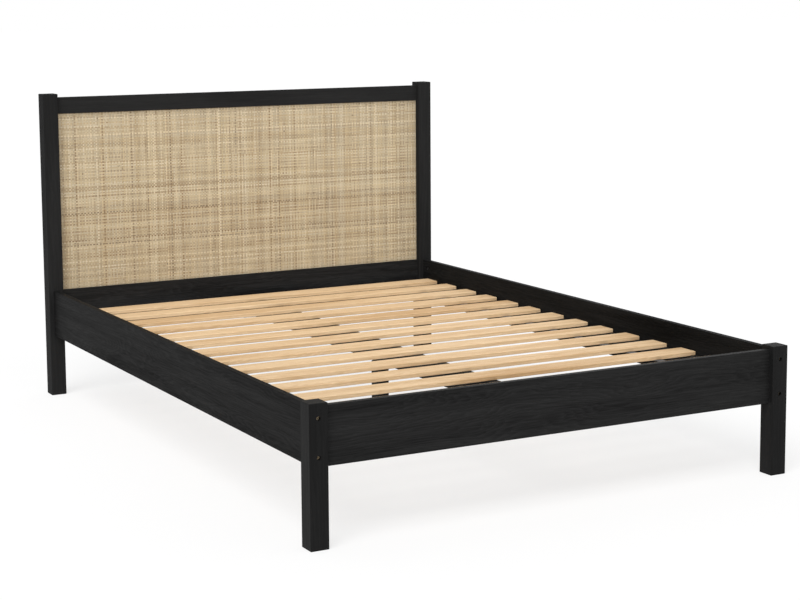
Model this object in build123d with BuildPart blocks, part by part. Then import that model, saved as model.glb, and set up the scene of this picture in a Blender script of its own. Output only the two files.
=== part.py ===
from build123d import *
import os

os.makedirs("parts", exist_ok=True)

# Whole bed: floor at Z = 0, foot end towards -Y, head end towards +Y, lengths in millimetres
bed_width = 1450
bed_length = 2030
head_post_height = 1000
foot_post_above_rail = 10

# Square posts at the four corners
post_side = 50
post_chamfer = 1.5

# Side, foot and head rails: one board section, centred in the thickness of the posts
rail_thickness = 18
rail_height = 150
rail_underside = 200
rail_chamfer = 1

# Headboard: a narrow top rail, and a panel of rattan on a board in a groove all round
top_rail_height = 54
top_rail_drop = 12
panel_recess = 7
rattan_thickness = 2
board_thickness = 5
groove_depth = 8

# Stub tenons at the ends of the foot, head and top rails
tenon_thickness = 10
tenon_length = 16
rail_tenon_shoulder = 20
top_rail_tenon_shoulder = 12
mortise_glue_room = 1

# Bolts and barrel nuts that draw the side rails against the posts
bolt_spacing = 96
bolt_diameter = 6
bolt_hole_diameter = 7
bolt_past_nut_axis = 4
bolt_head_diameter = 10
bolt_head_height = 6
bolt_socket_width = 5
bolt_socket_depth = 3
counterbore_diameter = 11
counterbore_depth = 15
barrel_nut_diameter = 10
barrel_nut_length = 13
barrel_nut_setback = 31
barrel_nut_slot_width = 1.4
barrel_nut_slot_depth = 1.5

# One dowel between the two bolts of each joint, so that the rail can't turn
dowel_diameter = 8
dowel_length = 30
dowel_hole_room = 0.3

# Slats on two lengths of webbing, and the cleats along the side rails that carry their ends
slat_count = 14
slat_width = 70
slat_thickness = 12
slat_chamfer = 1.5
slat_end_gap = 2
slat_top_below_rail_top = 65
slat_inset_on_cleat = 10
webbing_width = 25
webbing_thickness = 1.2
webbing_from_slat_end = 120
webbing_end_inset = 5
cleat_width = 20
cleat_height = 28
cleat_end_gap = 25
cleat_chamfer = 1.5

# Rail along the middle of the bed, the notched blocks at its ends and the leg under it
centre_rail_width = 30
centre_rail_height = 60
cup_wall = 20
cup_floor = 12
cup_height = 56
cup_depth = 26
cup_chamfer = 4
leg_side = 40
leg_chamfer = 2
leg_stud_diameter = 8
leg_stud_length = 70

# Clearances: round every pin and tenon, and at the ends of what is laid in loosely
slip_fit = 0.1
seat_gap = 0.3

# Places worked out from the sizes above
half_length = bed_length / 2
post_x = (bed_width - post_side) / 2
post_y = (bed_length - post_side) / 2
between_posts_x = bed_width - 2 * post_side
between_posts_y = bed_length - 2 * post_side
rail_mid = rail_underside + rail_height / 2
rail_top = rail_underside + rail_height
foot_post_height = rail_top + foot_post_above_rail
side_rail_inner_x = post_x - rail_thickness / 2
end_rail_inner_y = post_y - rail_thickness / 2
top_rail_top = head_post_height - top_rail_drop
top_rail_mid = top_rail_top - top_rail_height / 2
top_rail_underside = top_rail_top - top_rail_height
rattan_front_y = end_rail_inner_y + panel_recess
groove_width = rattan_thickness + board_thickness + slip_fit
groove_mid_y = rattan_front_y + groove_width / 2
groove_low = rail_top - groove_depth
groove_high = top_rail_underside + groove_depth
mortise_thickness = tenon_thickness + 2 * slip_fit
mortise_depth = tenon_length + mortise_glue_room
bolt_heights = (rail_mid - bolt_spacing / 2, rail_mid + bolt_spacing / 2)
bolt_length = post_side - counterbore_depth + barrel_nut_setback + bolt_past_nut_axis
nut_y = between_posts_y / 2 - barrel_nut_setback
nut_hole_depth = (rail_thickness + barrel_nut_length) / 2
dowel_hole_radius = dowel_diameter / 2 + slip_fit
dowel_hole_depth = dowel_length / 2 + dowel_hole_room
slat_top = rail_top - slat_top_below_rail_top
slat_underside = slat_top - slat_thickness
slat_length = 2 * side_rail_inner_x - 2 * slat_end_gap
cleat_length = between_posts_y - 2 * cleat_end_gap
cleat_mid_x = side_rail_inner_x - cleat_width / 2
cleat_mid_z = slat_underside - cleat_height / 2
slat_reach = cleat_length / 2 - slat_inset_on_cleat
slat_pitch = (2 * slat_reach - slat_width) / (slat_count - 1)
webbing_x = slat_length / 2 - webbing_from_slat_end - webbing_width / 2
webbing_length = 2 * (slat_reach - webbing_end_inset)
centre_rail_underside = slat_underside - centre_rail_height
notch_width = centre_rail_width + 2 * slip_fit
stud_hole_radius = leg_stud_diameter / 2 + slip_fit

sides = {"left": -1, "right": 1}
ends = {"foot": -1, "head": 1}
standing = (Align.CENTER, Align.CENTER, Align.MIN)
hanging = (Align.CENTER, Align.CENTER, Align.MAX)


def keep(piece, name):
    """Label a finished piece and write its file."""
    piece.part.label = name
    export_step(piece.part, f"parts/{name}.step")


def facing_end(x, y, z, end):
    """A plane at a point, facing out of the bed at one end."""
    return Plane(origin=(x, y, z), x_dir=(1, 0, 0), z_dir=(0, end, 0))


def facing_middle(x, y, z, side):
    """A plane at a point on one side of the bed, facing the bed's middle."""
    return Plane(origin=(x, y, z), x_dir=(0, 1, 0), z_dir=(-side, 0, 0))


def facing_down(x, y, z):
    """A plane at a point, facing the floor."""
    return Plane(origin=(x, y, z), x_dir=(1, 0, 0), z_dir=(0, 0, -1))


def corner_post(side, end, height):
    """A post with two counterbored bolt holes, a dowel hole and the mortise of a rail across the bed."""
    x = side * post_x
    y = end * post_y
    with BuildPart() as post:
        with BuildSketch(Plane((x, y, 0))):
            Rectangle(post_side, post_side)
        extrude(amount=height)
        chamfer(post.edges(), post_chamfer)
        with Locations(*[facing_end(x, end * half_length, z, end) for z in bolt_heights]):
            CounterBoreHole(bolt_hole_diameter / 2, counterbore_diameter / 2, counterbore_depth)
        with Locations(facing_end(x, end * between_posts_y / 2, rail_mid, -end)):
            Hole(dowel_hole_radius, depth=dowel_hole_depth)
        with BuildSketch(facing_middle(side * between_posts_x / 2, y, rail_mid, side)):
            Rectangle(mortise_thickness, rail_height - 2 * (rail_tenon_shoulder - slip_fit))
        extrude(amount=-mortise_depth, mode=Mode.SUBTRACT)
    return post


def head_post(side):
    """A tall post, grooved for the panel and mortised for the top rail as well."""
    inner_x = side * between_posts_x / 2
    with BuildPart() as post:
        add(corner_post(side, ends["head"], head_post_height))
        with BuildSketch(facing_middle(inner_x, groove_mid_y, (groove_low + groove_high) / 2, side)):
            Rectangle(groove_width, groove_high - groove_low)
        extrude(amount=-groove_depth, mode=Mode.SUBTRACT)
        with BuildSketch(facing_middle(inner_x, post_y, top_rail_mid, side)):
            Rectangle(mortise_thickness, top_rail_height - 2 * (top_rail_tenon_shoulder - slip_fit))
        extrude(amount=-mortise_depth, mode=Mode.SUBTRACT)
    return post


def cross_rail(end, middle_z, height, shoulder):
    """A board across the bed with a stub tenon at each end."""
    section = facing_middle(0, end * post_y, middle_z, sides["left"])
    with BuildPart() as rail:
        with BuildSketch(section):
            Rectangle(rail_thickness, height)
        extrude(amount=between_posts_x / 2, both=True)
        chamfer(rail.edges().filter_by(Axis.X), rail_chamfer)
        with BuildSketch(section):
            Rectangle(tenon_thickness, height - 2 * shoulder)
        extrude(amount=between_posts_x / 2 + tenon_length, both=True)
    return rail


def panel_groove(low):
    """The space that the panel's groove takes out of a rail, from a height upwards."""
    with BuildPart() as groove:
        with BuildSketch(Plane((0, groove_mid_y, low))):
            Rectangle(between_posts_x, groove_width)
        extrude(amount=groove_depth)
    return groove


def panel_sheet(front_y, thickness):
    """A sheet that fills the headboard's opening and the grooves round it."""
    width = between_posts_x + 2 * (groove_depth - seat_gap)
    height = groove_high - groove_low - 2 * seat_gap
    with BuildPart() as sheet:
        with BuildSketch(facing_end(0, front_y, (groove_low + groove_high) / 2, ends["head"])):
            Rectangle(width, height)
        extrude(amount=thickness)
    return sheet


def side_rail(side):
    """A long board, bored at each end for two bolts, their barrel nuts and a dowel."""
    x = side * post_x
    inner_x = side * side_rail_inner_x
    with BuildPart() as rail:
        with BuildSketch(facing_end(x, 0, rail_mid, ends["head"])):
            Rectangle(rail_thickness, rail_height)
        extrude(amount=between_posts_y / 2, both=True)
        chamfer(rail.edges().filter_by(Axis.Y), rail_chamfer)
        for end in ends.values():
            rail_end = end * between_posts_y / 2
            with Locations(*[facing_end(x, rail_end, z, end) for z in bolt_heights]):
                Hole(bolt_hole_diameter / 2, depth=barrel_nut_setback)
            with Locations(facing_end(x, rail_end, rail_mid, end)):
                Hole(dowel_hole_radius, depth=dowel_hole_depth)
            with Locations(*[facing_middle(inner_x, end * nut_y, z, side) for z in bolt_heights]):
                Hole(barrel_nut_diameter / 2 + slip_fit, depth=nut_hole_depth)
    return rail


def slat_cleat(side):
    """A batten glued along the inside of a side rail."""
    with BuildPart() as cleat:
        with BuildSketch(facing_end(side * cleat_mid_x, 0, cleat_mid_z, ends["head"])):
            Rectangle(cleat_width, cleat_height)
        extrude(amount=cleat_length / 2, both=True)
        chamfer(cleat.edges().filter_by(Axis.Y), cleat_chamfer)
    return cleat


def slat(y):
    """One slat across the bed, resting on both cleats and on the centre rail."""
    with BuildPart() as board:
        with BuildSketch(facing_middle(0, y, slat_underside + slat_thickness / 2, sides["left"])):
            Rectangle(slat_width, slat_thickness)
        extrude(amount=slat_length / 2, both=True)
        chamfer(board.edges().filter_by(Axis.X), slat_chamfer)
    return board


def webbing(side):
    """A tape along the undersides of the slats, stapled to each of them."""
    with BuildPart() as tape:
        with BuildSketch(Plane((side * webbing_x, 0, slat_underside))):
            Rectangle(webbing_width, webbing_length)
        extrude(amount=-webbing_thickness)
    return tape


def rail_cup(end):
    """A block glued to the foot or head rail, notched so that the centre rail drops into it."""
    middle_y = end * (end_rail_inner_y - cup_depth / 2)
    with BuildPart() as cup:
        with BuildSketch(Plane((0, middle_y, centre_rail_underside - cup_floor))):
            Rectangle(notch_width + 2 * cup_wall, cup_depth)
        extrude(amount=cup_height)
        inner_corners = cup.edges().filter_by(Axis.Z).sort_by(lambda edge: end * edge.center().Y)[:2]
        chamfer(inner_corners, cup_chamfer)
        with BuildSketch(Plane((0, middle_y, centre_rail_underside))):
            Rectangle(notch_width, cup_depth)
        extrude(amount=cup_height, mode=Mode.SUBTRACT)
    return cup


def socket_bolt():
    """A socket-head bolt pointing down, with its head standing on Z = 0."""
    with BuildPart() as bolt:
        Cylinder(bolt_head_diameter / 2, bolt_head_height, align=standing)
        with BuildSketch(Plane.XY.offset(bolt_head_height)):
            RegularPolygon(bolt_socket_width / 2, 6, major_radius=False)
        extrude(amount=-bolt_socket_depth, mode=Mode.SUBTRACT)
        Cylinder(bolt_diameter / 2, bolt_length, align=hanging)
    return bolt


def barrel_nut():
    """A round nut lying along Z and centred at the origin, cross-bored along X, slotted on top."""
    with BuildPart() as nut:
        Cylinder(barrel_nut_diameter / 2, barrel_nut_length)
        with BuildSketch(Plane.YZ):
            Circle(bolt_diameter / 2 + slip_fit)
        extrude(amount=barrel_nut_diameter, both=True, mode=Mode.SUBTRACT)
        with BuildSketch(Plane.XY.offset(barrel_nut_length / 2)):
            Rectangle(barrel_nut_diameter, barrel_nut_slot_width)
        extrude(amount=-barrel_nut_slot_depth, mode=Mode.SUBTRACT)
    return nut


def dowel():
    """A dowel centred at the origin, with half its length in each of the pieces it joins."""
    with BuildPart() as pin:
        Cylinder(dowel_diameter / 2, dowel_length)
    return pin


def copies(piece, planes):
    """The same fastener at each of several planes, as separate solids of one node."""
    with BuildPart() as group:
        with Locations(*planes):
            add(piece.part)
    return group


# Posts, left and right of somebody who looks from the foot towards the head
for word, side in sides.items():
    keep(head_post(side), f"head_post_{word}")
    keep(corner_post(side, ends["foot"], foot_post_height), f"foot_post_{word}")

# Rails across the bed: the head rail and the top rail are grooved for the panel
keep(cross_rail(ends["foot"], rail_mid, rail_height, rail_tenon_shoulder), "foot_rail")

with BuildPart() as head_rail:
    add(cross_rail(ends["head"], rail_mid, rail_height, rail_tenon_shoulder))
    add(panel_groove(groove_low), mode=Mode.SUBTRACT)
keep(head_rail, "head_rail")

with BuildPart() as top_rail:
    add(cross_rail(ends["head"], top_rail_mid, top_rail_height, top_rail_tenon_shoulder))
    add(panel_groove(top_rail_underside), mode=Mode.SUBTRACT)
keep(top_rail, "headboard_top_rail")

# The rattan faces the foot of the bed and its board is behind it
keep(panel_sheet(rattan_front_y, rattan_thickness), "rattan_panel")
keep(panel_sheet(rattan_front_y + rattan_thickness, board_thickness), "panel_backing_board")

# Side rails with their cleats, and the webbing of the slats
for word, side in sides.items():
    keep(side_rail(side), f"side_rail_{word}")
    keep(slat_cleat(side), f"slat_cleat_{word}")
    keep(webbing(side), f"webbing_{word}")

for index in range(slat_count):
    place = (index - (slat_count - 1) / 2) * slat_pitch
    keep(slat(place), f"slat_{index + 1:02d}")

# Middle rail, laid in a notched block at each end and standing on a leg at half length
with BuildPart() as centre_rail:
    with BuildSketch(Plane.XY.offset(centre_rail_underside)):
        Rectangle(centre_rail_width, 2 * (end_rail_inner_y - seat_gap))
    extrude(amount=centre_rail_height)
    with Locations(facing_down(0, 0, centre_rail_underside)):
        Hole(stud_hole_radius, depth=leg_stud_length / 2)
keep(centre_rail, "centre_rail")

for word, end in ends.items():
    keep(rail_cup(end), f"centre_rail_cup_{word}")

with BuildPart() as centre_leg:
    with BuildSketch():
        Rectangle(leg_side, leg_side)
    extrude(amount=centre_rail_underside)
    chamfer(centre_leg.edges(), leg_chamfer)
    with Locations((0, 0, centre_rail_underside)):
        Hole(stud_hole_radius, depth=leg_stud_length / 2)
keep(centre_leg, "centre_leg")

with BuildPart() as leg_stud:
    with BuildSketch(Plane.XY.offset(centre_rail_underside - leg_stud_length / 2)):
        Circle(leg_stud_diameter / 2)
    extrude(amount=leg_stud_length)
keep(leg_stud, "leg_stud")

# Fasteners of the four corners, one node of each kind for the foot and for the head
for word, end in ends.items():
    bolt_seat = end * (half_length - counterbore_depth)
    rail_end = end * between_posts_y / 2
    corners = [(side, z) for side in sides.values() for z in bolt_heights]
    bolts = [facing_end(side * post_x, bolt_seat, z, end) for side, z in corners]
    nuts = [facing_middle(side * post_x, end * nut_y, z, side) for side, z in corners]
    dowels = [facing_end(side * post_x, rail_end, rail_mid, end) for side in sides.values()]
    keep(copies(socket_bolt(), bolts), f"{word}_bolts")
    keep(copies(barrel_nut(), nuts), f"{word}_barrel_nuts")
    keep(copies(dowel(), dowels), f"{word}_dowels")
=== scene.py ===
import math

import bpy
import numpy as np
from mathutils import Matrix, Vector


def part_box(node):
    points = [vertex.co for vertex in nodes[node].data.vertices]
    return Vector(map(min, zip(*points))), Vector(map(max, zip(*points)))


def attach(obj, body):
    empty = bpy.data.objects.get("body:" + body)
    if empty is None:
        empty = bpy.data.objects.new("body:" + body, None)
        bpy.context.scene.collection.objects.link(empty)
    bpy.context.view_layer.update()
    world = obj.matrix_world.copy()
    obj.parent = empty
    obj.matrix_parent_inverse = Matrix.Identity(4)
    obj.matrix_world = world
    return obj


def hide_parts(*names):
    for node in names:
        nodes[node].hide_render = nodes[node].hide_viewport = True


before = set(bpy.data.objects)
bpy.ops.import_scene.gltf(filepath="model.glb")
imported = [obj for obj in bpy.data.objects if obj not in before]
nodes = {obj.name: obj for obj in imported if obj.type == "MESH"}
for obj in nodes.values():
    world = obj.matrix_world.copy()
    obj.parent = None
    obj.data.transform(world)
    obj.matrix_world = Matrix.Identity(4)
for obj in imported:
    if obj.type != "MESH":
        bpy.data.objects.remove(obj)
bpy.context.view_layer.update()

# Camera, fitted to the edges of the posts and rails in the photograph: place in metres, turns in degrees,
# lens and sensor in millimetres
camera_place = (-2.543, -4.8269, 1.3207)
camera_yaw = 28.446
camera_pitch = 7.392
camera_roll = -0.362
camera_lens = 82.222
camera_sensor = 36
camera_shift_up = -0.0875

# Light: an even sky, and a soft sun from the left
sky_strength = 0.62
sun_strength = 2.3
sun_softness = 40
sun_from = (-2.7, -2.3, 4.2)

# A soft lamp in front of the bed, narrow enough to light the headboard and not the foot end
lamp_place = (0, -2.2, 1.9)
lamp_aim = (0, 1.0, 0.85)
lamp_width = 1.6
lamp_height = 0.8
lamp_power = 4
lamp_spread = 60

# Floor: the share of it that glows white keeps its shadow pale
floor_half_width = 60
floor_colour = (0.9, 0.9, 0.9, 1)
floor_glow = 0.72

# Wood: each pattern's noise, as cells in a metre along the grain and across it, detail and roughness
swirl_noise = (1.1, 6.5, 3, 0.44)
fibre_noise = (8, 250, 3, 0.7)
patch_noise = (1.5, 34, 4, 0.6)
pore_noise = (30, 900, 1, 0.5)

# Wood: the noise values that each pattern stretches to the range from 0 to 1
eye_range = (0.52, 0.66)
fibre_range = (0.3, 0.7)
patch_range = (0.32, 0.68)
pore_range = (0.6, 0.72)

# Wood: how far each pattern moves the tone from the dark colour, at 0, to the light one, at 1
ring_weight = 0.38
fibre_weight = 0.46
patch_weight = 0.4
eye_weight = -0.42
pore_weight = -0.25

# Wood: the tone that a contrast below 1 draws the others towards
middle_tone = 0.45

# Wood: how slanted, ragged and sharp-edged the rings are
ring_slant = 0.6
ring_raggedness = 0.7
ring_sharpness = 1.7

# Wood: each piece is cut from another place in the pattern, up to this far away in metres
plank_shift = 50

# Wood: relief of the rings beside that of the fibres, and strength and depth of the bump, in metres
ring_relief = 0.35
wood_bump_strength = 0.35
wood_bump_depth = 0.0004

# Wood: how much rougher the darkest tone is than the wood's own roughness, and the fall to the lightest
dark_tone_roughness = 0.08
roughness_fall = 0.12

# The black stain: grey levels of its dark and its light tone
stain_dark = 0.0035
stain_light = 0.019

# Plating: noise cells in a metre, and the noise values between its two tints
plating_scale = 240
plating_range = (0.35, 0.65)

# Plating: how far its roughness starts below the stated one, and how far the clouds raise it
plating_smoothness = 0.05
plating_unevenness = 0.2

# Tape: scale and distortion of the wave that makes its twill, and noise cells in a metre of its fuzz
twill_scale = 260
twill_distortion = 1.5
fuzz_scale = 700

# Rattan weave: its pitches, and how far a strand rises, bends and strays, in metres
upright_pitch = 0.0056
level_pitch = 0.0051
strand_rise = 0.0004
strand_bend = 0.000275
strand_offset = 0.00025

# Rattan weave: a strand's usual width as a share of the pitch, and its widths as shares of the usual one
strand_width = 0.94
strand_width_range = (0.86, 1.04)
strand_swelling = 0.05

# Rattan weave: a strand thins where a random value passes the threshold, by no more than the limit
thinning_threshold = 1.6
thinning_limit = 0.5

# Rattan weave: how far a strand stays level each side of a crossing, as a share of the pitch
strand_plateau = 0.27

# Rattan colours: a cool and a warm kind of each
pale_cool = (0.635, 0.552, 0.395, 1)
pale_warm = (0.605, 0.488, 0.3, 1)
deep_cool = (0.21, 0.15, 0.09, 1)
deep_warm = (0.26, 0.165, 0.08, 1)

# Rattan: the usual tone from deep, at 0, to pale, at 1, and how much tone and warmth vary
strand_tone = 0.62
tone_between_groups = 0.06
tone_between_strands = 0.16
tone_along_strand = 0.1
usual_warmth = 0.5
warmth_between_strands = 0.28
warmth_along_strand = 0.15

# Rattan: the share of strands that are dark and of crossings that have a knot, and how much darker they are
dark_strand_share = 0.07
dark_strand_step = 0.34
knot_share = 0.002
knot_step = 0.5

# Rattan: marks of each slow change, as a share of the points that it runs along, and the fewest it has
bend_marks = 0.05
thinning_marks = 0.05
swelling_marks = 0.08
group_marks = 0.3
tone_marks = 0.04
warmth_marks = 0.03
fewest_marks = 4

# Seed of the weave's random changes
weave_seed = 11

# Rattan: the noise of its fine streaks, as for wood, its range, and its part in tone and relief
streak_noise = (25, 900, 3, 0.6)
streak_range = (0.3, 0.7)
streak_weight = 0.22
streak_relief = 0.35

# Screw heads along the cleats, in metres
screw_count = 7
screw_end_gap = 0.12
screw_radius = 0.004
screw_height = 0.0022
recess_half_width = 0.0007
recess_reach = 0.0024
recess_slope = 0.0003

# Screw heads: the rim's height and the recess's depth as shares of the head's height
screw_rim_share = 0.55
recess_depth_share = 0.7

# Screw heads: rings of points from the middle out, as shares of the radius; the last one is the foot
screw_rings = (*np.linspace(0.02, 0.92, 14), 0.98, 1, 1)
screw_sides = 48

# Staples through the webbing, in metres; their bends and their drop are in radii of the wire
staple_width = 0.012
staple_leg = 0.006
wire_radius = 0.0006
wire_sides = 10
staple_bend = 2
staple_bend_points = 5
staple_drop = 0.6

# Sockets of the Mix node when it mixes colours
mix_share = 0
mix_first = 6
mix_second = 7
mix_result = 2

random = np.random.default_rng(weave_seed)


class Surface:
    """A material whose nodes are added one call at a time."""

    def __init__(self, name):
        self.material = bpy.data.materials.new(name)
        self.material.use_nodes = True
        self.tree = self.material.node_tree
        self.shader = self.tree.nodes["Principled BSDF"]

    def put(self, target, value):
        """Gives an input a number or colour, or joins it to another node's output."""
        if isinstance(value, bpy.types.NodeSocket):
            self.tree.links.new(value, target)
        else:
            target.default_value = value

    def add(self, kind, inputs, output=0, **settings):
        """Adds one node and returns one of its outputs."""
        node = self.tree.nodes.new("ShaderNode" + kind)
        for name, value in settings.items():
            setattr(node, name, value)
        for name, value in inputs.items():
            self.put(node.inputs[name], value)
        return node.outputs[output]

    def math(self, operation, first, second=0.0):
        """The result of one step of arithmetic on two numbers."""
        return self.add("Math", {0: first, 1: second}, operation=operation)

    def total(self, *layers):
        """The sum of several values, each of them times its weight."""
        products = [self.math("MULTIPLY", value, weight) for value, weight in layers]
        result = products[0]
        for product in products[1:]:
            result = self.math("ADD", result, product)
        return result

    def scaled(self, place, scale):
        """A place whose axes are stretched by three factors."""
        return self.add("Mapping", {"Vector": place, "Scale": scale})

    def noise(self, place, detail=2.0, roughness=0.5):
        """Smooth noise from about 0.3 to 0.7 at a place whose scale is already set."""
        inputs = {"Vector": place, "Scale": 1.0, "Detail": detail, "Roughness": roughness}
        return self.add("TexNoise", inputs)

    def spread(self, value, low, high):
        """Stretches the range from low to high to the whole range from 0 to 1."""
        return self.add("MapRange", {"Value": value, "From Min": low, "From Max": high})

    def blend(self, share, first, second):
        """A colour between two colours."""
        node = self.tree.nodes.new("ShaderNodeMix")
        node.data_type = "RGBA"
        self.put(node.inputs[mix_share], share)
        self.put(node.inputs[mix_first], first)
        self.put(node.inputs[mix_second], second)
        return node.outputs[mix_result]

    def shade(self, **inputs):
        """Sets the shader's own inputs."""
        for name, value in inputs.items():
            self.put(self.shader.inputs[name.replace("_", " ")], value)

    def bump(self, height, strength, depth):
        """Turns a height into the shader's normal."""
        normal = self.add("Bump", {"Height": height, "Strength": strength, "Distance": depth})
        self.put(self.shader.inputs["Normal"], normal)


def wood(name, grain, dark, light, figure=0.3, ring_gap=0.0065, gloss=0.2, roughness=0.55, contrast=1):
    """Planed wood with its grain along one axis: swirling rings, dark eyes, fibres and short open pores."""
    s = Surface(name)
    place = s.add("TexCoord", {}, "Object")
    shift = s.math("MULTIPLY", s.add("ObjectInfo", {}, "Random"), plank_shift)
    parts = {axis: s.add("SeparateXYZ", {"Vector": place}, axis) for axis in "XYZ"}
    along = s.math("ADD", parts[grain], shift)
    across = [s.math("ADD", parts[axis], shift) for axis in "XYZ" if axis != grain]

    def pattern(long, wide, detail, coarseness):
        inputs = {
            "X": s.math("MULTIPLY", along, long),
            "Y": s.math("MULTIPLY", across[0], wide),
            "Z": s.math("MULTIPLY", across[1], wide),
        }
        return s.noise(s.add("CombineXYZ", inputs), detail, coarseness)

    swirl = pattern(*swirl_noise)
    eye = s.spread(swirl, *eye_range)
    fibre = s.spread(pattern(*fibre_noise), *fibre_range)
    patch = s.spread(pattern(*patch_noise), *patch_range)
    pore = s.spread(pattern(*pore_noise), *pore_range)
    slope = s.math("ADD", across[1], s.math("MULTIPLY", across[0], ring_slant))
    level = s.math("DIVIDE", s.math("ADD", s.math("MULTIPLY", swirl, figure), slope), ring_gap)
    level = s.math("ADD", level, s.math("MULTIPLY", fibre, ring_raggedness))
    ring = s.math("POWER", s.math("FRACT", level), ring_sharpness)
    tone = s.total(
        (ring, ring_weight),
        (fibre, fibre_weight),
        (patch, patch_weight),
        (eye, eye_weight),
        (pore, pore_weight),
    )
    tone = s.math("MULTIPLY", s.add("Clamp", {"Value": tone}), contrast)
    tone = s.math("ADD", tone, middle_tone * (1 - contrast))
    height = s.total((ring, ring_relief), (fibre, 1), (pore, -1))
    fall = s.math("MULTIPLY", tone, roughness_fall)
    s.shade(
        Base_Color=s.blend(tone, dark, light),
        Roughness=s.math("SUBTRACT", roughness + dark_tone_roughness, fall),
        Specular_IOR_Level=gloss,
    )
    s.bump(height, wood_bump_strength, wood_bump_depth)
    return s.material


def stained(name, grain, stain_paleness_and_painted_light, gloss, figure=0.3, contrast=1):
    """Black-stained wood; the paleness lifts both tones of the stain, and where parts of one stain differ in
    it, that difference is painted light and shade.
    """
    dark = (stain_dark * stain_paleness_and_painted_light,) * 3 + (1,)
    light = (stain_light * stain_paleness_and_painted_light,) * 3 + (1,)
    return wood(name, grain, dark, light, figure, gloss=gloss, contrast=contrast)


def metal(name, colour, tint, roughness):
    """Plated steel, with faint cloudy patches of a second tint."""
    s = Surface(name)
    place = s.add("TexCoord", {}, "Object")
    cloud = s.noise(s.scaled(place, (plating_scale,) * 3), detail=3)
    rise = s.math("MULTIPLY", cloud, plating_unevenness)
    s.shade(
        Base_Color=s.blend(s.spread(cloud, *plating_range), colour, tint),
        Metallic=1.0,
        Roughness=s.math("ADD", roughness - plating_smoothness, rise),
    )
    s.bump(cloud, strength=0.15, depth=0.0001)
    return s.material


def tape(name, colour, light):
    """Woven tape: a fine twill that runs aslant, under a light fuzz."""
    s = Surface(name)
    place = s.add("TexCoord", {}, "Object")
    inputs = {"Vector": place, "Scale": twill_scale, "Distortion": twill_distortion}
    twill = s.add("TexWave", inputs, 1, bands_direction="DIAGONAL")
    fuzz = s.noise(s.scaled(place, (fuzz_scale,) * 3), detail=2)
    share = s.math("MULTIPLY", twill, fuzz)
    s.shade(Base_Color=s.blend(share, colour, light), Roughness=0.9, Sheen_Weight=0.2)
    s.bump(twill, strength=0.5, depth=0.0004)
    return s.material


def rattan(name, grain):
    """Split rattan: every strand has its own tone, is crowned across and streaked along."""
    s = Surface(name)
    colour = s.add("VertexColor", {}, 0, layer_name="strand")
    tone, across, warmth = (s.add("SeparateColor", {"Color": colour}, channel) for channel in range(3))
    place = s.add("TexCoord", {}, "Object")
    long, wide, detail, coarseness = streak_noise
    scale = (wide, wide, long) if grain == "Z" else (long, wide, wide)
    streak = s.spread(s.noise(s.scaled(place, scale), detail, coarseness), *streak_range)
    change = s.math("MULTIPLY", s.math("SUBTRACT", streak, 0.5), streak_weight)
    tone = s.add("Clamp", {"Value": s.math("ADD", tone, change)})
    pale = s.blend(warmth, pale_cool, pale_warm)
    deep = s.blend(warmth, deep_cool, deep_warm)
    offset = s.math("SUBTRACT", across, 0.5)
    crown = s.math("SUBTRACT", 1.0, s.math("MULTIPLY", s.math("MULTIPLY", offset, offset), 4))
    s.shade(Base_Color=s.blend(tone, deep, pale), Roughness=0.5, Specular_IOR_Level=0.35)
    s.bump(s.total((crown, 1), (streak, streak_relief)), strength=0.7, depth=0.0005)
    return s.material


def placed(name, data):
    """A new object in the scene."""
    thing = bpy.data.objects.new(name, data)
    bpy.context.scene.collection.objects.link(thing)
    return thing


def wander(count, stations, share, size):
    """Random changes that run smoothly along each strand: one row a strand, one column a station."""
    marks = max(fewest_marks, int(stations * share) + 2)
    rough = random.normal(0, size, (count, marks))
    # The last station stops just short of the last mark, so every station has a mark after it
    at = np.linspace(0, marks - 1.001, stations)
    low = at.astype(int)
    part = at - low
    part = part * part * (3 - 2 * part)
    return rough[:, low] * (1 - part) + rough[:, low + 1] * part


def strand_edges(count, stations, pitch, start):
    """The two edges of every strand: strands stray a little, vary in width and thin out in places."""
    middle = start + (np.arange(count)[:, None] + 0.5) * pitch
    middle = middle + wander(count, stations, bend_marks, strand_bend)
    middle = middle + random.normal(0, strand_offset, (count, 1))
    share = strand_width * random.uniform(*strand_width_range, (count, 1))
    thinning = wander(count, stations, thinning_marks, 1)
    thinning = np.clip(thinning - thinning_threshold, 0, thinning_limit)
    swelling = wander(count, stations, swelling_marks, strand_swelling)
    half = share * pitch / 2 * (1 + swelling - thinning)
    middle = np.clip(middle, start + pitch / 2, start + count * pitch - pitch / 2)
    return middle - half, middle + half


def strand_colours(count, crossings):
    """Tone and warmth along every strand: neighbours are a little alike, a few are dark, some have knots."""
    stations = 2 * crossings
    group = wander(1, count, group_marks, tone_between_groups).reshape(count, 1)
    tone = strand_tone + group + random.normal(0, tone_between_strands, (count, 1))
    dark = random.random((count, 1)) < dark_strand_share
    tone = np.where(dark, tone - dark_strand_step, tone)
    tone = tone + wander(count, stations, tone_marks, tone_along_strand)
    knot = np.repeat(random.random((count, crossings)) < knot_share, 2, axis=1)
    tone = np.where(knot, tone - knot_step, tone)
    warmth = usual_warmth + random.normal(0, warmth_between_strands, (count, 1))
    warmth = warmth + wander(count, stations, warmth_marks, warmth_along_strand)
    return np.clip(tone, 0, 1), np.clip(warmth, 0, 1)


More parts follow.
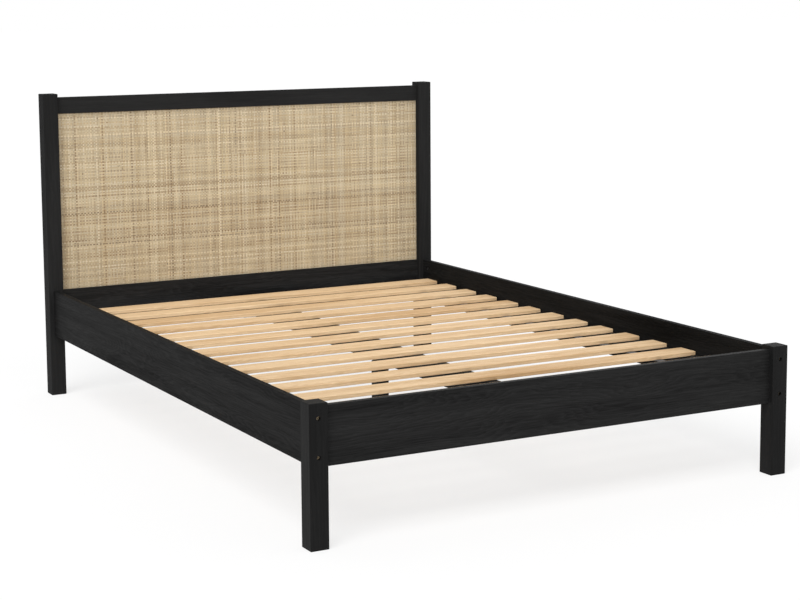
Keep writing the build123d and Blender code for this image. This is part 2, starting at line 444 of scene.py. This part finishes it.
def weave(name, low, high, upright):
    """All the strands that run one way, each going over and under the ones it crosses."""
    width = high[0] - low[0]
    height = high[2] - low[2]
    uprights = round(width / upright_pitch)
    levels = round(height / level_pitch)
    if upright:
        count, crossings, pitch, step = uprights, levels, width / uprights, height / levels
        across_from, along_from = low[0], low[2]
    else:
        count, crossings, pitch, step = levels, uprights, height / levels, width / uprights
        across_from, along_from = low[2], low[0]
    stations = 2 * crossings
    strand = np.arange(count)[:, None]
    crossing = np.repeat(np.arange(crossings), 2)[None, :]
    side = np.tile([-strand_plateau, strand_plateau], crossings)[None, :]
    in_front = (strand + crossing) % 2 == (0 if upright else 1)
    along = along_from + (crossing + 0.5 + side) * step + np.zeros((count, 1))
    depth = (low[1] + high[1]) / 2 + np.where(in_front, -strand_rise, strand_rise)
    edges = strand_edges(count, stations, pitch, across_from)
    tone, warmth = strand_colours(count, crossings)
    points = np.zeros((count, stations, 2, 3))
    colour = np.ones((count, stations, 2, 4))
    for number, edge in enumerate(edges):
        points[:, :, number, 0] = edge if upright else along
        points[:, :, number, 1] = depth
        points[:, :, number, 2] = along if upright else edge
        colour[:, :, number, 0] = tone
        colour[:, :, number, 1] = number
        colour[:, :, number, 2] = warmth
    index = np.arange(count * stations * 2).reshape(count, stations, 2)
    corners = [index[:, :-1, 0], index[:, :-1, 1], index[:, 1:, 1], index[:, 1:, 0]]
    if not upright:
        corners.reverse()
    return ribbons(name, points, colour, np.stack(corners, -1).reshape(-1, 4))


def ribbons(name, points, colour, faces):
    """A smooth mesh of four-sided faces that carries the strands' colours."""
    mesh = bpy.data.meshes.new(name)
    mesh.vertices.add(points.size // 3)
    mesh.vertices.foreach_set("co", points.ravel())
    mesh.loops.add(faces.size)
    mesh.loops.foreach_set("vertex_index", faces.ravel())
    mesh.polygons.add(len(faces))
    mesh.polygons.foreach_set("loop_start", np.arange(0, faces.size, 4))
    mesh.polygons.foreach_set("use_smooth", np.ones(len(faces), bool))
    mesh.update(calc_edges=True)
    attribute = mesh.color_attributes.new("strand", "FLOAT_COLOR", "POINT")
    attribute.data.foreach_set("color", colour.ravel())
    return placed(name, mesh)


def tube_faces(rows, sides):
    """The faces between the rings of points of a tube or a dome, with the same count of points in each."""
    row, turn = np.meshgrid(np.arange(rows - 1) * sides, np.arange(sides), indexing="ij")
    after = (turn + 1) % sides
    faces = np.stack([row + turn, row + sides + turn, row + sides + after, row + after], -1)
    return [tuple(face) for face in faces.reshape(-1, 4).tolist()]


def screw_head():
    """Points and faces of a domed screw head with a cross recess, looking along +Z from Z = 0."""
    turns = np.linspace(0, 2 * math.pi, screw_sides, endpoint=False)
    shares = np.array(screw_rings)
    radius = shares[:, None] * screw_radius
    x, y = radius * np.cos(turns), radius * np.sin(turns)
    crown = np.sqrt(np.clip(1 - shares**2, 0, 1))
    dome = screw_height * (screw_rim_share + (1 - screw_rim_share) * crown)
    dome[-1] = 0
    narrow, wide = np.minimum(abs(x), abs(y)), np.maximum(abs(x), abs(y))
    inside = np.clip((recess_half_width - narrow) / recess_slope, 0, 1)
    inside = inside * np.clip((recess_reach - wide) / recess_slope, 0, 1)
    z = dome[:, None] - inside * screw_height * recess_depth_share
    points = np.stack([x, y, z], -1).reshape(-1, 3)
    return points, tube_faces(len(shares), screw_sides) + [tuple(range(screw_sides))]


def staple():
    """Points and faces of a wire staple: its crown lies along X just under Z = 0 and its legs go up."""
    half, bend = staple_width / 2, wire_radius * staple_bend
    arc = np.linspace(0, math.pi / 2, staple_bend_points)
    corner = np.stack([half - bend + bend * np.sin(arc), bend - bend * np.cos(arc)], -1)
    line = np.concatenate([corner, [[half, staple_leg]]])
    line = np.concatenate([line[::-1] * (-1, 1), line])
    ahead = np.gradient(line, axis=0)
    ahead = ahead / np.linalg.norm(ahead, axis=1, keepdims=True)
    turns = np.linspace(0, 2 * math.pi, wire_sides, endpoint=False)
    out = wire_radius * np.cos(turns)
    x = line[:, 0, None] - ahead[:, 1, None] * out
    y = np.broadcast_to(wire_radius * np.sin(turns), x.shape)
    z = line[:, 1, None] + ahead[:, 0, None] * out - wire_radius * staple_drop
    points = np.stack([x, y, z], -1).reshape(-1, 3)
    return points, tube_faces(len(line), wire_sides)


def group_of(name, shape, places, side=0):
    """Copies of a small shape as one piece; a side of -1 or 1 turns it to face the bed's middle."""
    points, faces = shape
    if side:
        points = np.stack([-side * points[:, 2], side * points[:, 1], points[:, 0]], -1)
    everything, every_face = [], []
    for number, place in enumerate(places):
        everything.append(points + place)
        every_face += [tuple(corner + number * len(points) for corner in face) for face in faces]
    mesh = bpy.data.meshes.new(name)
    mesh.from_pydata(np.concatenate(everything).tolist(), [], every_face)
    mesh.polygons.foreach_set("use_smooth", np.ones(len(every_face), bool))
    mesh.update()
    return placed(name, mesh)


# Materials of the CAD nodes. The posts and the foot, head, side and top rails have one black stain. Its
# paleness differs from part to part as painted light and shade: paler on the head posts and the headboard's
# top rail, where more light falls, and darker on the foot posts and side rails.
foot_post_wood = stained("foot_post_wood", "Z", stain_paleness_and_painted_light=0.9, gloss=0.07, figure=0.08, contrast=0.4)
head_post_wood = stained("head_post_wood", "Z", stain_paleness_and_painted_light=1.65, gloss=0.01, figure=0.08, contrast=0.3)
top_rail_wood = stained("top_rail_wood", "X", stain_paleness_and_painted_light=1.45, gloss=0.04, figure=0.1, contrast=0.4)
foot_rail_wood = stained("foot_rail_wood", "X", stain_paleness_and_painted_light=1.0, gloss=0.08)
side_rail_wood = stained("side_rail_wood", "Y", stain_paleness_and_painted_light=0.8, gloss=0.025)
long_bearer_wood = stained("bearer_wood_Y", "Y", stain_paleness_and_painted_light=1.5, gloss=0.06, figure=0.15)
standing_bearer_wood = stained("bearer_wood_Z", "Z", stain_paleness_and_painted_light=1.5, gloss=0.06, figure=0.15)
pine = wood(
    "pine",
    "X",
    dark=(0.50, 0.31, 0.15, 1),
    light=(0.78, 0.58, 0.36, 1),
    figure=0.2,
    ring_gap=0.006,
    gloss=0.3,
    roughness=0.6,
)
beech = wood(
    "beech",
    "Y",
    dark=(0.52, 0.33, 0.18, 1),
    light=(0.70, 0.49, 0.30, 1),
    figure=0.1,
    ring_gap=0.003,
    gloss=0.3,
    roughness=0.6,
)
board = wood(
    "backing_board",
    "X",
    dark=(0.008, 0.007, 0.006, 1),
    light=(0.024, 0.022, 0.020, 1),
    figure=0.5,
    ring_gap=0.02,
    gloss=0.1,
    roughness=0.7,
)
yellow = metal("yellow_plating", (0.62, 0.48, 0.30, 1), (0.52, 0.44, 0.31, 1), roughness=0.4)
zinc = metal("zinc_plating", (0.62, 0.63, 0.64, 1), (0.52, 0.53, 0.55, 1), roughness=0.35)
strap = tape("tape", (0.02, 0.02, 0.022, 1), (0.09, 0.09, 0.095, 1))

# The finish of each node goes by the longest of these words that its name starts with
finishes = {
    "head_post": head_post_wood,
    "foot_post": foot_post_wood,
    "foot_rail": foot_rail_wood,
    "head_rail": foot_rail_wood,
    "headboard_top_rail": top_rail_wood,
    "side_rail": side_rail_wood,
    "slat_cleat": long_bearer_wood,
    "centre_rail": long_bearer_wood,
    "centre_rail_cup": standing_bearer_wood,
    "centre_leg": standing_bearer_wood,
    "leg_stud": zinc,
    "slat_": pine,
    "webbing": strap,
    "panel_backing_board": board,
    "rattan_panel": board,
    "foot_bolts": yellow,
    "head_bolts": yellow,
    "foot_barrel_nuts": zinc,
    "head_barrel_nuts": zinc,
    "foot_dowels": beech,
    "head_dowels": beech,
}
for name, node in nodes.items():
    longest = max((word for word in finishes if name.startswith(word)), key=len)
    for slot in node.material_slots:
        slot.material = finishes[longest]

# Woven rattan in place of the plain sheet
panel_low, panel_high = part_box("rattan_panel")
uprights = weave("rattan_uprights", panel_low, panel_high, True)
uprights.data.materials.append(rattan("rattan_upright", "Z"))
levels = weave("rattan_levels", panel_low, panel_high, False)
levels.data.materials.append(rattan("rattan_level", "X"))
for piece in (uprights, levels):
    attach(piece, "root")
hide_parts("rattan_panel")

# Screws along the cleats and staples through the webbing: small, so they are made here alone
cleat_low, cleat_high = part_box("slat_cleat_right")
tape_low, tape_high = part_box("webbing_right")
slat_boxes = [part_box(name) for name in sorted(nodes) if name.startswith("slat_") and "cleat" not in name]
for word, side in (("left", -1), ("right", 1)):
    at_y = np.linspace(cleat_low[1] + screw_end_gap, cleat_high[1] - screw_end_gap, screw_count)
    screw_z = (cleat_low[2] + cleat_high[2]) / 2
    screw_places = [(side * cleat_low[0], y, screw_z) for y in at_y]
    screws = group_of(f"cleat_screws_{word}", screw_head(), screw_places, side)
    staple_x = side * (tape_low[0] + tape_high[0]) / 2
    staple_places = [(staple_x, (low[1] + high[1]) / 2, tape_low[2]) for low, high in slat_boxes]
    staples = group_of(f"staples_{word}", staple(), staple_places)
    for piece in (screws, staples):
        piece.data.materials.append(zinc)
        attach(piece, "root")


def seen_directly(tree):
    """1 for rays that show the background itself: to the camera, in gloss and through clear material."""
    light = tree.nodes.new("ShaderNodeLightPath")
    value = light.outputs["Is Camera Ray"]
    for name in ("Is Glossy Ray", "Is Transmission Ray"):
        larger = tree.nodes.new("ShaderNodeMath")
        larger.operation = "MAXIMUM"
        tree.links.new(value, larger.inputs[0])
        tree.links.new(light.outputs[name], larger.inputs[1])
        value = larger.outputs[0]
    return value


def shader_between(tree, share, first, second):
    """A mix of two shaders."""
    mix = tree.nodes.new("ShaderNodeMixShader")
    for number, value in enumerate((share, first, second)):
        tree.links.new(value, mix.inputs[number])
    return mix.outputs[0]


def ground():
    """A pale matt floor that looks nearly white from above and is clear from below."""
    material = bpy.data.materials.new("floor")
    material.use_nodes = True
    tree = material.node_tree
    tree.nodes.clear()
    matt = tree.nodes.new("ShaderNodeBsdfDiffuse")
    matt.inputs["Color"].default_value = floor_colour
    glow = tree.nodes.new("ShaderNodeEmission")
    clear = tree.nodes.new("ShaderNodeBsdfTransparent")
    share = tree.nodes.new("ShaderNodeMath")
    share.operation = "MULTIPLY"
    share.inputs[1].default_value = floor_glow
    tree.links.new(seen_directly(tree), share.inputs[0])
    above = shader_between(tree, share.outputs[0], matt.outputs[0], glow.outputs[0])
    from_below = tree.nodes.new("ShaderNodeNewGeometry").outputs["Backfacing"]
    output = tree.nodes.new("ShaderNodeOutputMaterial")
    tree.links.new(shader_between(tree, from_below, above, clear.outputs[0]), output.inputs["Surface"])
    return material


def sky():
    """An even white sky that is dimmer as a light than it looks."""
    world = bpy.data.worlds.new("sky")
    world.use_nodes = True
    tree = world.node_tree
    background = tree.nodes["Background"]
    background.inputs["Color"].default_value = (1, 1, 1, 1)
    strength = tree.nodes.new("ShaderNodeMapRange")
    strength.inputs["To Min"].default_value = sky_strength
    strength.inputs["To Max"].default_value = 1
    tree.links.new(seen_directly(tree), strength.inputs["Value"])
    tree.links.new(strength.outputs["Result"], background.inputs["Strength"])
    return world


def hang(light, place, aim):
    """Puts a light at a place, pointing at another."""
    holder = placed(light.name, light)
    holder.visible_camera = False
    turn = (Vector(aim) - Vector(place)).to_track_quat("-Z", "Y")
    holder.matrix_world = Matrix.Translation(place) @ turn.to_matrix().to_4x4()


def camera_matrix():
    """The camera's place and turn, worked out from its yaw, pitch and roll."""
    yaw, pitch, roll = (math.radians(angle) for angle in (camera_yaw, camera_pitch, camera_roll))
    ahead = np.array([math.sin(yaw) * math.cos(pitch), math.cos(yaw) * math.cos(pitch), -math.sin(pitch)])
    level = np.cross(ahead, (0, 0, 1))
    level = level / np.linalg.norm(level)
    steep = np.cross(level, ahead)
    right = math.cos(roll) * level + math.sin(roll) * steep
    up = math.cos(roll) * steep - math.sin(roll) * level
    matrix = np.eye(4)
    matrix[:3] = np.stack([right, up, -ahead, camera_place], -1)
    return Matrix(matrix.tolist())


# Floor, sky and lights
signs = ((-1, -1), (1, -1), (1, 1), (-1, 1))
floor_corners = [(x * floor_half_width, y * floor_half_width, 0) for x, y in signs]
floor_mesh = bpy.data.meshes.new("floor")
floor_mesh.from_pydata(floor_corners, [], [(0, 1, 2, 3)])
floor_mesh.materials.append(ground())
floor = placed("floor", floor_mesh)

bpy.context.scene.world = sky()

sun = bpy.data.lights.new("sun", "SUN")
sun.energy = sun_strength
sun.angle = math.radians(sun_softness)
hang(sun, sun_from, (0, 0, 0))

lamp = bpy.data.lights.new("headboard_lamp", "AREA")
lamp.shape = "RECTANGLE"
lamp.size = lamp_width
lamp.size_y = lamp_height
lamp.energy = lamp_power
lamp.spread = math.radians(lamp_spread)
hang(lamp, lamp_place, lamp_aim)

# Camera
camera = bpy.data.cameras.new("camera")
camera.lens = camera_lens
camera.sensor_width = camera_sensor
camera.shift_y = camera_shift_up
camera_object = placed("camera", camera)
camera_object.matrix_world = camera_matrix()
bpy.context.scene.camera = camera_object

bpy.context.scene.view_settings.view_transform = "Standard"
